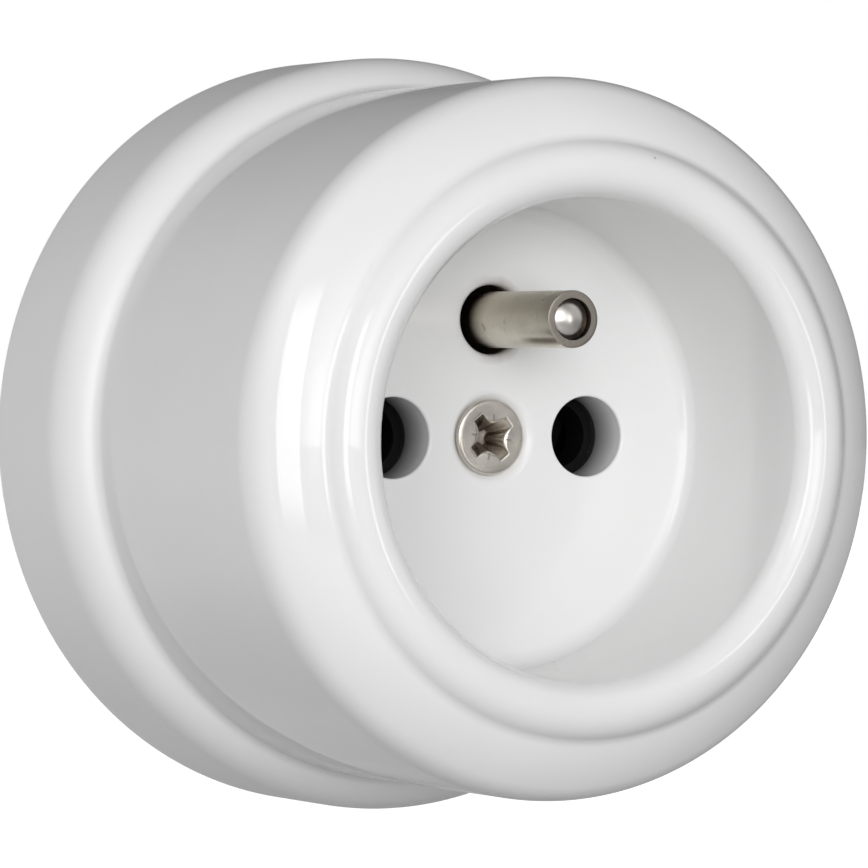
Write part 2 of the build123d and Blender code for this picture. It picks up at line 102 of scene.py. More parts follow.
def arc(x, d, r, start, end, steps):
    """Points of a circular arc in the radius and depth plane, angles in degrees."""
    turns = [radians(start + (end - start) * i / steps) for i in range(steps + 1)]
    return [(x + r * cos(t), d + r * sin(t)) for t in turns]


def run(a, b, steps):
    """Points along a straight stretch of a profile."""
    shares = [i / steps for i in range(steps + 1)]
    return [(a[0] + (b[0] - a[0]) * share, a[1] + (b[1] - a[1]) * share) for share in shares]


def angle_of(point, centre):
    return degrees(atan2(point[1] - centre[1], point[0] - centre[0]))


# node trees


def new_tree(name, sockets):
    tree = bpy.data.node_groups.new(name, "GeometryNodeTree")
    tree.interface.new_socket("Geometry", in_out="INPUT", socket_type="NodeSocketGeometry")
    for label, kind in sockets:
        tree.interface.new_socket(label, in_out="INPUT", socket_type="NodeSocket" + kind)
    tree.interface.new_socket("Geometry", in_out="OUTPUT", socket_type="NodeSocketGeometry")
    return tree, tree.nodes.new("NodeGroupInput"), tree.nodes.new("NodeGroupOutput")


def put(tree, kind, links=(), **settings):
    """Adds a node, sets its properties, and fills inputs from sockets or plain values."""
    node = tree.nodes.new(kind)
    for key, value in settings.items():
        setattr(node, key, value)
    for key, value in dict(links).items():
        if isinstance(value, bpy.types.NodeSocket):
            tree.links.new(value, node.inputs[key])
        else:
            node.inputs[key].default_value = value
    return node


def math(tree, operation, a, b=0.0, c=0.0):
    return put(tree, "ShaderNodeMath", {0: a, 1: b, 2: c}, operation=operation).outputs[0]


def turned_tree():
    """Spins a profile of radius and depth round an axis square to the wall."""
    tree, given, out = new_tree("turned_form", [
        ("Steps round", "Int"), ("Axis x", "Float"), ("Axis z", "Float"), ("Finish", "Material")])
    profile, steps = given.outputs["Geometry"], given.outputs["Steps round"]
    size = put(tree, "GeometryNodeAttributeDomainSize", {"Geometry": profile}, component="MESH")
    around = math(tree, "ADD", steps, 1.0)
    sheet = put(tree, "GeometryNodeMeshGrid",
                {"Vertices X": size.outputs["Point Count"], "Vertices Y": around})
    index = put(tree, "GeometryNodeInputIndex").outputs[0]
    place = math(tree, "FLOOR", math(tree, "DIVIDE", math(tree, "ADD", index, 0.5), around))
    step = math(tree, "SUBTRACT", index, math(tree, "MULTIPLY", place, around))
    turn = math(tree, "MULTIPLY", math(tree, "DIVIDE", step, steps), 2 * pi)
    here = put(tree, "GeometryNodeInputPosition").outputs[0]
    point = put(tree, "GeometryNodeSampleIndex", {"Geometry": profile, "Value": here, "Index": place},
                data_type="FLOAT_VECTOR", domain="POINT")
    radius, depth, _ = put(tree, "ShaderNodeSeparateXYZ", {0: point.outputs[0]}).outputs
    x = math(tree, "MULTIPLY_ADD", radius, math(tree, "COSINE", turn), given.outputs["Axis x"])
    z = math(tree, "MULTIPLY_ADD", radius, math(tree, "SINE", turn), given.outputs["Axis z"])
    y = math(tree, "MULTIPLY", depth, -1.0)
    spot = put(tree, "ShaderNodeCombineXYZ", {"X": x, "Y": y, "Z": z})
    spun = put(tree, "GeometryNodeSetPosition",
               {"Geometry": sheet.outputs["Mesh"], "Position": spot.outputs[0]})
    closed = put(tree, "GeometryNodeMergeByDistance", {"Geometry": spun.outputs[0], "Distance": 1e-7})
    smooth = put(tree, "GeometryNodeSetShadeSmooth", {"Geometry": closed.outputs[0]})
    real = put(tree, "GeometryNodeRealizeInstances", {"Geometry": smooth.outputs[0]})
    dressed = put(tree, "GeometryNodeSetMaterial",
                  {"Geometry": real.outputs[0], "Material": given.outputs["Finish"]})
    tree.links.new(dressed.outputs[0], out.inputs[0])
    return tree


def plate_tree():
    """A flat round plate square to the wall, pierced by the pin holes, earth hole and screw hole."""
    tree, given, out = new_tree("pierced_plate", [
        ("Edge radius", "Float"), ("Edge steps", "Int"), ("Hole steps", "Int"),
        ("Pin hole radius", "Float"), ("Pin hole offset", "Float"),
        ("Earth hole radius", "Float"), ("Earth hole rise", "Float"),
        ("Screw hole radius", "Float"), ("Depth", "Float"), ("Finish", "Material")])

    def ring(radius, steps, x=0.0, z=0.0):
        circle = put(tree, "GeometryNodeCurvePrimitiveCircle",
                     {"Resolution": given.outputs[steps], "Radius": given.outputs[radius]})
        spot = put(tree, "ShaderNodeCombineXYZ", {"X": x, "Y": z})
        return put(tree, "GeometryNodeTransform",
                   {"Geometry": circle.outputs["Curve"], "Translation": spot.outputs[0]}).outputs[0]

    offset = given.outputs["Pin hole offset"]
    rings = put(tree, "GeometryNodeJoinGeometry")
    for loop in (
        ring("Edge radius", "Edge steps"),
        ring("Pin hole radius", "Hole steps", x=offset),
        ring("Pin hole radius", "Hole steps", x=math(tree, "MULTIPLY", offset, -1.0)),
        ring("Earth hole radius", "Hole steps", z=given.outputs["Earth hole rise"]),
        ring("Screw hole radius", "Hole steps"),
    ):
        tree.links.new(loop, rings.inputs[0])
    filled = put(tree, "GeometryNodeFillCurve", {"Curve": rings.outputs[0]}).outputs[0]
    back = math(tree, "MULTIPLY", given.outputs["Depth"], -1.0)
    spot = put(tree, "ShaderNodeCombineXYZ", {"Y": back}).outputs[0]
    stood = put(tree, "GeometryNodeTransform",
                {"Geometry": filled, "Translation": spot, "Rotation": (pi / 2, 0, 0)})
    real = put(tree, "GeometryNodeRealizeInstances", {"Geometry": stood.outputs[0]})
    dressed = put(tree, "GeometryNodeSetMaterial",
                  {"Geometry": real.outputs[0], "Material": given.outputs["Finish"]})
    tree.links.new(dressed.outputs[0], out.inputs[0])
    return tree


def grown(tree, inputs, profile=()):
    """Runs a tree on a profile given in millimetres and returns the plain mesh it makes."""
    seed = bpy.data.meshes.new("profile")
    seed.from_pydata([(r * mm, d * mm, 0) for r, d in profile], [], [])
    holder = bpy.data.objects.new("profile", seed)
    scene.collection.objects.link(holder)
    modifier = holder.modifiers.new("form", "NODES")
    modifier.node_group = tree
    for item in tree.interface.items_tree:
        if item.in_out == "INPUT" and item.name in inputs:
            modifier[item.identifier] = inputs[item.name]
    evaluated = holder.evaluated_get(bpy.context.evaluated_depsgraph_get())
    mesh = bpy.data.meshes.new_from_object(evaluated)
    holder.modifiers.clear()
    bpy.data.objects.remove(holder)
    bpy.data.meshes.remove(seed)
    return mesh


def piece(name, meshes, finish, crease=35.0):
    """Joins meshes into one closed piece with smooth shading and crisp corners."""
    joined = bmesh.new()
    for mesh in meshes:
        joined.from_mesh(mesh)
    bmesh.ops.remove_doubles(joined, verts=joined.verts, dist=2e-7)
    bmesh.ops.recalc_face_normals(joined, faces=joined.faces)
    for face in joined.faces:
        face.smooth = True
        face.material_index = 0
    mesh = bpy.data.meshes.new(name)
    joined.to_mesh(mesh)
    joined.free()
    mesh.materials.clear()
    mesh.materials.append(finish)
    mesh.set_sharp_from_angle(angle=radians(crease))
    made = bpy.data.objects.new(name, mesh)
    scene.collection.objects.link(made)
    return made


# finishes


def finish_nodes(name):
    """A new material with its shader, and the object coordinates that its patterns follow."""
    material = bpy.data.materials.new(name)
    material.use_nodes = True
    tree = material.node_tree
    shader = tree.nodes["Principled BSDF"]
    where = put(tree, "ShaderNodeTexCoord").outputs["Object"]
    return material, tree, shader, where


def noise(tree, where, scale, detail=2.0, roughness=0.5):
    made = put(tree, "ShaderNodeTexNoise",
               {"Vector": where, "Scale": scale, "Detail": detail, "Roughness": roughness})
    return made.outputs["Fac"]


def ranged(tree, value, low, high, to_low, to_high):
    """Carries a value from one range to another and holds it at the ends."""
    made = put(tree, "ShaderNodeMapRange",
               {"Value": value, "From Min": low, "From Max": high, "To Min": to_low, "To Max": to_high})
    return made.outputs[0]


def blended(tree, share, one, two):
    mix = put(tree, "ShaderNodeMix", data_type="RGBA")
    for socket, value in ((mix.inputs["Factor"], share), (mix.inputs[6], one), (mix.inputs[7], two)):
        if isinstance(value, bpy.types.NodeSocket):
            tree.links.new(value, socket)
        else:
            socket.default_value = (*value, 1.0)
    return mix.outputs[2]


def dented(tree, shader, layers):
    """Stacks bumps on the shader: each layer is a height, its strength and its depth in millimetres."""
    normal = None
    for height, strength, depth in layers:
        bump = put(tree, "ShaderNodeBump", {"Height": height, "Strength": strength, "Distance": depth * mm})
        if normal:
            tree.links.new(normal, bump.inputs["Normal"])
        normal = bump.outputs[0]
    tree.links.new(normal, shader.inputs["Normal"])


def off_axis(tree, x, z, rise=0.0):
    """Distance in metres from an axis square to the wall, which stands a rise in millimetres up."""
    up = math(tree, "SUBTRACT", z, rise * mm)
    return math(tree, "SQRT", math(tree, "MULTIPLY_ADD", x, x, math(tree, "MULTIPLY", up, up)))


def painted_floor_shade(tree, where):
    """Painted shade on the recess floor: pin hole walls darker with depth and near black deepest down, the
    earth hole's wall darker with depth, and a brown ring of painted shadow round the earth pin, strongest on
    its right.
    """
    x, y, z = put(tree, "ShaderNodeSeparateXYZ", {0: where}).outputs
    down = math(tree, "ADD", y, floor_front * mm)
    aside = math(tree, "SUBTRACT", math(tree, "ABSOLUTE", x), pin_x * mm)
    inside = math(tree, "LESS_THAN", off_axis(tree, aside, z), (pin_hole_r + hole_round) * mm)
    # painted shade: the pin holes' walls grow darker with depth and turn near black at the bottom
    graded = ranged(tree, down, hole_shade_from * mm, deepest_shade_from * mm, 0.0, 0.75)
    deepest_shade = ranged(tree, down, deepest_shade_from * mm, deepest_shade_to * mm, 0.0, 0.24)
    hole_shade = math(tree, "MULTIPLY", inside, math(tree, "ADD", graded, deepest_shade))
    ring = off_axis(tree, x, z, earth_z)
    near = math(tree, "LESS_THAN", ring, (earth_hole_r + earth_round) * mm)
    # painted shade on the earth hole's wall, darker with depth
    earth_hole_shade = math(tree, "MULTIPLY", near, ranged(tree, down, earth_shade_from * mm, earth_shade_to * mm, 0.0, 0.97))
    # brown painted shadow of the earth pin on the floor round its hole, strongest on the right
    blur = math(tree, "MULTIPLY_ADD", noise(tree, where, 700.0), 0.6 * mm, ring)
    rightward = ranged(tree, x, -2.5 * mm, 1.0 * mm, 0.1, 1.0)
    pin_shadow = math(tree, "MULTIPLY", ranged(tree, blur, pin_shadow_in * mm, pin_shadow_out * mm, 0.6, 0.0), rightward)
    return [(hole_shade, hole_shade_tone), (pin_shadow, pin_shadow_tone), (earth_hole_shade, earth_hole_shade_tone)]


def white_glaze():
    """Glazed porcelain: a slightly uneven clear skin over a white body, with its specks and bare foot."""
    material, tree, shader, where = finish_nodes("white_glaze")
    x, y, z = put(tree, "ShaderNodeSeparateXYZ", {0: where}).outputs
    cloud = ranged(tree, noise(tree, where, 45.0, 3.0), 0.35, 0.65, 0.0, 1.0)
    body = blended(tree, cloud, porcelain_low, porcelain_high)
    for spot in specks:
        away = put(tree, "ShaderNodeVectorMath", {0: where, 1: Vector(spot) * mm}, operation="DISTANCE")
        speck = ranged(tree, away.outputs["Value"], speck_r * mm, speck_fade * mm, 0.5, 0.0)
        body = blended(tree, speck, body, speck_brown)
    foot = math(tree, "MULTIPLY_ADD", noise(tree, where, 300.0), 0.6 * mm, y)
    bare = ranged(tree, foot, -glazed_foot * mm, -bare_foot * mm, 0.0, 1.0)
    body = blended(tree, bare, body, foot_clay)
    # painted shade and painted shadow in the pin holes and round the earth pin
    for share, tone in painted_floor_shade(tree, where):
        body = blended(tree, share, body, tone)
    tree.links.new(body, shader.inputs["Base Color"])

    reach = off_axis(tree, x, z)
    inner = ranged(tree, reach, soft_wall_in * mm, (soft_wall_in + soft_wall_fade) * mm, 0.0, 1.0)
    outer = ranged(tree, reach, soft_wall_out * mm, (soft_wall_out + soft_wall_fade) * mm, 0.14, 0.0)
    sheen = ranged(tree, noise(tree, where, 120.0), 0.3, 0.7, 0.015, 0.04)
    flange = ranged(tree, y, -glossy_drum * mm, -soft_flange * mm, 0.0, 0.3)
    softer = math(tree, "ADD", sheen, flange)
    softer = math(tree, "MULTIPLY_ADD", inner, outer, softer)
    tree.links.new(math(tree, "MULTIPLY_ADD", bare, 0.3, softer), shader.inputs["Roughness"])
    shader.inputs["IOR"].default_value = 1.5
    waves, ripples = noise(tree, where, 75.0, 1.0), noise(tree, where, 420.0, 1.0)
    dented(tree, shader, [(waves, 0.16, 0.6), (ripples, 0.05, 0.1)])
    return material


def bare_porcelain():
    """Unglazed porcelain of the base: fine grain and a faint cast of clay."""
    material, tree, shader, where = finish_nodes("bare_porcelain")
    body = blended(tree, noise(tree, where, 160.0, 4.0), bisque_low, bisque_high)
    tree.links.new(body, shader.inputs["Base Color"])
    grain = ranged(tree, noise(tree, where, 900.0), 0.3, 0.7, 0.55, 0.75)
    tree.links.new(grain, shader.inputs["Roughness"])
    dented(tree, shader, [(noise(tree, where, 1800.0, 3.0), 0.3, 0.1)])
    return material


def black_moulding(name, tone):
    """Black thermoset: dull, with faint flow marks."""
    material, tree, shader, where = finish_nodes(name)
    flow = noise(tree, where, 110.0, 4.0)
    body = blended(tree, flow, (tone, tone, tone), (tone * 1.8, tone * 1.7, tone * 1.6))
    tree.links.new(body, shader.inputs["Base Color"])
    tree.links.new(ranged(tree, flow, 0.3, 0.7, 0.45, 0.62), shader.inputs["Roughness"])
    shader.inputs["Specular IOR Level"].default_value = 0.2
    dented(tree, shader, [(noise(tree, where, 2500.0, 2.0), 0.2, 0.05)])
    return material


def pin_shade_and_marks(tree, where):
    """Marks on the earth tube: painted shade on its upper side, a dark streak along the underside near the
    tip, painted shade at the root, a dull end and painted shade in the bore.
    """
    x, y, z = put(tree, "ShaderNodeSeparateXYZ", {0: where}).outputs
    up = math(tree, "SUBTRACT", z, earth_z * mm)
    # painted shade: the upper side of the pin is darker, in patches
    patchy = math(tree, "MULTIPLY_ADD", noise(tree, where, 500.0, 3.0), 1.6 * mm, up)
    upper_shade = ranged(tree, patchy, upper_shade_low * mm, upper_shade_high * mm, 0.0, 0.55)
    # a dark streak along the underside near the tip, on the pin's left
    off_line = math(tree, "ABSOLUTE", math(tree, "ADD", up, streak_drop * mm))
    near_tip = ranged(tree, y, -streak_front * mm, -streak_back * mm, 1.0, 0.0)
    left_side = math(tree, "LESS_THAN", x, 0.0)
    underside_streak = math(tree, "MULTIPLY", ranged(tree, off_line, streak_half * mm, streak_fade * mm, 0.8, 0.0),
               math(tree, "MULTIPLY", near_tip, left_side))
    # painted shade where the pin goes into its hole
    root_shade = ranged(tree, y, -root_front * mm, -root_back * mm, 0.0, 0.7)
    end = math(tree, "LESS_THAN", y, -(earth_tip - tip_edge / 2) * mm)
    # painted shade inside the tube's bore
    bore_shade = math(tree, "LESS_THAN", off_axis(tree, x, z, earth_z), (sleeve_in + 0.01) * mm)
    return [(upper_shade, upper_shade_tone), (underside_streak, streak_tone), (root_shade, root_shade_tone), (end, end_tone), (bore_shade, bore_shade_tone)]


def painted_screw_shade(tree, where):
    """Painted shade in the hollow of the cross recess and in the four short ticks between its arms."""
    x, y, z = put(tree, "ShaderNodeSeparateXYZ", {0: where}).outputs
    reach = off_axis(tree, x, z)
    # painted shade, darker deeper in the cross recess
    within = math(tree, "LESS_THAN", reach, shade_r * mm)
    deep = math(tree, "MULTIPLY", within, ranged(tree, y, -shade_front * mm, -shade_back * mm, 0.0, 0.72))
    square = put(tree, "ShaderNodeVectorRotate", {"Vector": where, "Angle": radians(cross_turn)},
                 rotation_type="Y_AXIS").outputs["Vector"]
    u, _, v = put(tree, "ShaderNodeSeparateXYZ", {0: square}).outputs
    apart = math(tree, "SUBTRACT", math(tree, "ABSOLUTE", u), math(tree, "ABSOLUTE", v))
    slim = math(tree, "LESS_THAN", math(tree, "ABSOLUTE", apart), tick_w / sqrt(2) * mm)
    along = math(tree, "ABSOLUTE", math(tree, "SUBTRACT", reach, tick_r * mm))
    tick = math(tree, "MULTIPLY", slim, math(tree, "LESS_THAN", along, tick_l / 2 * mm))
    tick = math(tree, "MULTIPLY", tick, math(tree, "LESS_THAN", y, -(head_front - 0.02) * mm))
    return [(deep, cross_shade), (math(tree, "MULTIPLY", tick, 0.5), tick_shade)]


def plated(name, dull, bright, gloss, grain, stain, marks=None):
    """Plated metal: blotchy tone, hazed gloss, fine grain, a few dark stains, and the painted shade and
    marks that the piece's mark function gives.
    """
    material, tree, shader, where = finish_nodes(name)
    shader.inputs["Metallic"].default_value = 1.0
    cloud = ranged(tree, noise(tree, where, 260.0, 4.0, 0.6), 0.32, 0.68, 0.0, 1.0)
    body = blended(tree, cloud, dull, bright)
    spots = ranged(tree, noise(tree, where, 900.0, 2.0), 0.66, 0.74, 0.0, stain)
    body = blended(tree, spots, body, (dull[0] * 0.35, dull[1] * 0.33, dull[2] * 0.3))
    for share, tone in marks(tree, where) if marks else ():
        body = blended(tree, share, body, tone)
    tree.links.new(body, shader.inputs["Base Color"])
    graded = ranged(tree, noise(tree, where, 420.0, 3.0), 0.3, 0.7, *gloss)
    tree.links.new(graded, shader.inputs["Roughness"])
    dented(tree, shader, [(noise(tree, where, 3200.0, 2.0), grain, 0.03)])
    return material


glaze = white_glaze()
bisque = bare_porcelain()
moulding = black_moulding("black_moulding", 0.004)
shutter_black = black_moulding("shutter_black", 0.006)
pin_nickel = plated("pin_nickel", dull=(0.59, 0.56, 0.475), bright=(0.69, 0.655, 0.56),
                    gloss=(0.26, 0.36), grain=0.3, stain=0.5, marks=pin_shade_and_marks)
core_nickel = plated("core_nickel", dull=(0.86, 0.82, 0.77), bright=(0.94, 0.9, 0.85),
                     gloss=(0.25, 0.33), grain=0.1, stain=0.35)
screw_nickel = plated("screw_nickel", dull=(0.73, 0.685, 0.62), bright=(0.8, 0.755, 0.685),
                      gloss=(0.2, 0.28), grain=0.12, stain=0.15, marks=painted_screw_shade)
brass = plated("turned_brass", dull=(0.6, 0.42, 0.16), bright=(0.74, 0.54, 0.25),
               gloss=(0.25, 0.38), grain=0.25, stain=0.3)
bronze = plated("contact_bronze", dull=(0.56, 0.34, 0.17), bright=(0.7, 0.45, 0.25),
                gloss=(0.28, 0.4), grain=0.25, stain=0.4)
steel = plated("zinc_steel", dull=(0.46, 0.47, 0.47), bright=(0.6, 0.61, 0.61),
               gloss=(0.28, 0.42), grain=0.25, stain=0.2)
spring_wire = plated("spring_wire", dull=(0.32, 0.32, 0.32), bright=(0.45, 0.45, 0.45),
                     gloss=(0.3, 0.4), grain=0.15, stain=0.2)

turned = turned_tree()
plate = plate_tree()


# porcelain cover


def cover_profile(flat=0.5):
    """From the flat of the recess floor over the rim and the drum to the back and the floor's underside."""
    wall_r = recess_r - wall_draft
    shoulder = (drum_r - shoulder_r, rim - shoulder_drop)
    lean = radians(90 - shoulder_turn)
    inset = shoulder_r - brow_r
    brow = (shoulder[0] + inset * cos(lean), shoulder[1] + inset * sin(lean))
    bead = (recess_r + roll_r, rim - bead_r)
    roll = (recess_r + roll_r, rim - roll_r)
    across, along = brow[0] - bead[0], brow[1] - bead[1]
    span = hypot(across, along)
    near = (span**2 + (bead_r + valley_r) ** 2 - (brow_r + valley_r) ** 2) / (2 * span)
    aside = sqrt((bead_r + valley_r) ** 2 - near**2)
    valley = (bead[0] + (near * across - aside * along) / span,
              bead[1] + (near * along + aside * across) / span)
    turn = 2 * degrees(atan2(flange_r - drum_r, ogee_depth))
    swell_r = ogee_share * ogee_depth / sin(radians(turn))
    root_r = (1 - ogee_share) * ogee_depth / sin(radians(turn))
    relief_end = shoulder[1] - relief_w
    line = run((wall_r - floor_round - flat, floor_front), (wall_r - floor_round, floor_front), 1)
    line += arc(wall_r - floor_round, floor_front + floor_round, floor_round, -90, 0, 12)[1:]
    line += run(line[-1], (recess_r, rim - roll_r), 6)[1:]
    line += arc(*roll, roll_r, 180, 90, 16)[1:]
    line += arc(*bead, bead_r, 90, angle_of(valley, bead), 10)[1:]
    line += arc(*valley, valley_r, angle_of(bead, valley) + 360, angle_of(brow, valley) + 360, 12)[1:]
    line += arc(*brow, brow_r, angle_of(valley, brow), 90 - shoulder_turn, 14)[1:]
    line += arc(*shoulder, shoulder_r, 90 - shoulder_turn, 0, 20)[1:]
    line += run(line[-1], (drum_r, flange_side + ogee_depth), 10)[1:]
    line += arc(drum_r + root_r, flange_side + ogee_depth, root_r, 180, 180 + turn, 8)[1:]
    line += arc(flange_r - swell_r, flange_side, swell_r, turn, 0, 14)[1:]
    line += run(line[-1], (flange_r, foot_gap + foot_round), 6)[1:]
    line += arc(flange_r - foot_round, foot_gap + foot_round, foot_round, 0, -90, 8)[1:]
    line += run(line[-1], (back_r, foot_gap), 4)[1:]
    line += run(line[-1], (back_r, flange_side), 3)[1:]
    line += run(line[-1], (cavity_r, block_front), 2)[1:]
    line += run(line[-1], (cavity_r, relief_end), 4)[1:]
    line += run(line[-1], (cup_r, relief_end), 2)[1:]
    line += run(line[-1], (cup_r - wall_draft, floor_back), 4)[1:]
    return line


def hole_profile(radius, lip, flat=0.4):
    """From the underside of the floor up through a round hole and over its softened lip."""
    line = run((radius, floor_back), (radius, floor_front - lip), 4)
    line += arc(radius + lip, floor_front - lip, lip, 180, 90, 10)[1:]
    return line + [(radius + lip + flat, floor_front)]


def sink_profile(flat=0.3):
    """Screw hole with its cone and the broad soft lip of the countersink."""
    reach = sink_round * (sqrt(2) - 1)
    line = run((clear_r, floor_back), (clear_r, floor_front - sink_r + clear_r), 3)
    line += run(line[-1], (sink_r - reach / sqrt(2), floor_front - reach / sqrt(2)), 4)[1:]
    line += arc(sink_r + reach, floor_front - sink_round, sink_round, 135, 90, 10)[1:]
    return line + [(sink_r + reach + flat, floor_front)]


def porcelain_cover():
    shell, hole = cover_profile(), hole_profile(pin_hole_r, hole_round)
    earth, sink = hole_profile(earth_hole_r, earth_round), sink_profile()
    around, small = 320, 96
    made = [grown(turned, {"Steps round": around, "Finish": glaze}, shell)]
    for x in (-pin_x, pin_x):
        made.append(grown(turned, {"Steps round": small, "Axis x": x * mm, "Finish": glaze}, hole))
    made.append(grown(turned, {"Steps round": small, "Axis z": earth_z * mm, "Finish": glaze}, earth))
    made.append(grown(turned, {"Steps round": small, "Finish": glaze}, sink))
    for end, depth, edge in ((-1, floor_front, shell[0][0]), (0, floor_back, shell[-1][0])):
        made.append(grown(plate, {
            "Edge radius": edge * mm, "Edge steps": around, "Hole steps": small,
            "Pin hole radius": hole[end][0] * mm, "Pin hole offset": pin_x * mm,
            "Earth hole radius": earth[end][0] * mm, "Earth hole rise": earth_z * mm,
            "Screw hole radius": sink[end][0] * mm, "Depth": depth * mm, "Finish": glaze}))
    cover = piece("porcelain_cover", made, glaze)
    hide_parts("cover")
    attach(cover, "socket")


# earth pin


def earth_turned(name, profile, steps, finish):
    """A piece turned round the earth pin's axis."""
    form = grown(turned, {"Steps round": steps, "Axis z": earth_z * mm, "Finish": finish}, profile)
    return piece(name, [form], finish, 30.0)


def earth_pin():
    sleeve = run((sleeve_in, strip_front), (sleeve_in, earth_tip), 6)
    sleeve += run(sleeve[-1], (pin_r - tip_edge, earth_tip), 3)[1:]
    sleeve += arc(pin_r - tip_edge, earth_tip - tip_edge, tip_edge, 90, 0, 5)[1:]
    sleeve += run(sleeve[-1], (pin_r, neck_top), 12)[1:]
    sleeve += run((neck_r, neck_top), (neck_r, collar_front), 6)
    sleeve += [(collar_r, collar_front), (collar_r, strip_front), (sleeve_in, strip_front)]
    tube = earth_turned("earth_tube", sleeve, 128, pin_nickel)
    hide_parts("earth_pin_sleeve")
    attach(tube, "socket")

    core_top = earth_tip - core_sink
    dome_r = (core_r**2 + dome_rise**2) / (2 * dome_rise)
    edge = angle_of((core_r, dome_r - dome_rise), (0, 0))
    core = arc(0, core_top + dome_rise - dome_r, dome_r, 90, edge, 18)
    core[0] = (0, core[0][1])
    core += [(core_r, strip_back), (rivet_r, strip_back), (rivet_r, rivet_back), (0, rivet_back)]
    heart = earth_turned("earth_core", core, 96, core_nickel)
    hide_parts("earth_pin_core")
    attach(heart, "socket")


# cover screw


def cross_reach(turn):
    """Distance from the middle to the edge of the cross recess, for a turn in degrees from an arm."""
    turn = radians(45 - abs(turn % 90 - 45))
    half, corner = cross_arm / 2, cross_arm / 2 + cross_web
    if turn < atan2(half, cross_span / 2):
        return cross_span / 2 / cos(turn)
    if turn < atan2(half, corner):
        return half / sin(turn)
    along = corner * (cos(turn) + sin(turn))
    return along - sqrt(along**2 - 2 * corner**2 + cross_web**2)


def screw_profile(reach):
    """Radius and depth from the bottom of the recess over its soft edge and the head to the screw's end."""
    steep = cross_depth / (1 - cross_narrow)
    line = [(reach * cross_narrow * i / 3, cross_depth) for i in range(4)]
    line += run(line[-1], (reach - cross_soft, steep * cross_soft / reach), 8)[1:]
    edge_depth = line[-1][1]
    for k in (0.2, 0.4, 0.6, 0.8, 1.0):
        line.append((reach + cross_soft * (k**2 - (1 - k) ** 2), edge_depth * (1 - k) ** 2))
    line += run(line[-1], (head_r - head_round, 0), 6)[1:]
    line += [(x, -d) for x, d in arc(head_r - head_round, -head_round, head_round, 90, 0, 8)[1:]]
    line += [(head_r, head_edge), (screw_r, head_edge + head_r - screw_r)]
    return line + [(screw_r, screw_l - screw_point), (screw_r - screw_point, screw_l), (0, screw_l)]


def cover_screw():
    around = 360
    spots, faces = [], []
    for step in range(around):
        turn = 360 * step / around
        side, rise = cos(radians(turn)), sin(radians(turn))
        for r, d in screw_profile(cross_reach(turn - cross_turn)):
            spots.append((r * side * mm, (d - head_front) * mm, r * rise * mm))
    count = len(spots) // around
    for step in range(around):
        a, b = step * count, (step + 1) % around * count
        faces += [(a + i, b + i, b + i + 1, a + i + 1) for i in range(count - 1)]
    mesh = bpy.data.meshes.new("screw")
    mesh.from_pydata(spots, [], faces)
    screw = piece("cross_screw", [mesh], screw_nickel, 40.0)
    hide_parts("cover_screw")
    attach(screw, "socket")


porcelain_cover()
earth_pin()
cover_screw()

for name, finish in {
    "cover": glaze, "base": bisque, "contact_block": moulding, "shutter_cap": moulding,
    "shutter": shutter_black, "shutter_spring": spring_wire, "cover_screw": screw_nickel,
    "centre_bolt": brass, "centre_nut": brass, "centre_washer": steel,
    "line_contact": bronze, "neutral_contact": bronze, "earth_strap": bronze,
    "line_terminal": brass, "neutral_terminal": brass, "earth_terminal": brass,
    "line_terminal_screw": steel, "neutral_terminal_screw": steel, "earth_terminal_screw": steel,
    "earth_pin_sleeve": pin_nickel, "earth_pin_core": core_nickel,
}.items():
    nodes[name].data.materials.clear()
    nodes[name].data.materials.append(finish)

# floor, light and camera


def aim(azimuth, elevation):
    """Direction from the socket, in degrees from its front and above the level."""
    a, e = radians(azimuth), radians(elevation)
    return Vector((sin(a) * cos(e), -cos(a) * cos(e), sin(e)))


def seen_plainly(tree, share):
    """One for rays from the camera, and the given share in reflections and through clear things."""
    path = put(tree, "ShaderNodeLightPath").outputs
    shiny = math(tree, "MAXIMUM", path["Is Glossy Ray"], path["Is Transmission Ray"])
    return math(tree, "MAXIMUM", path["Is Camera Ray"], math(tree, "MULTIPLY", shiny, share))


def glow(tree, way, azimuth, elevation, spread):
    """One towards a side, falling to a half at the spread in degrees."""
    toward = put(tree, "ShaderNodeVectorMath", {0: way, 1: aim(azimuth, elevation)},
                 operation="DOT_PRODUCT").outputs["Value"]
    apart = math(tree, "SUBTRACT", 1.0, toward)
    return math(tree, "POWER", 0.5, math(tree, "DIVIDE", apart, 1 - cos(radians(spread))))


def backdrop_share(tree, across, back):
    """How much of the white backdrop lies in a direction: behind the socket, and less to its right."""
    behind = ranged(tree, back, 0.1, 0.6, 0.0, 1.0)
    return math(tree, "MULTIPLY", behind, ranged(tree, across, 0.1, 0.45, 1.0, 0.25))


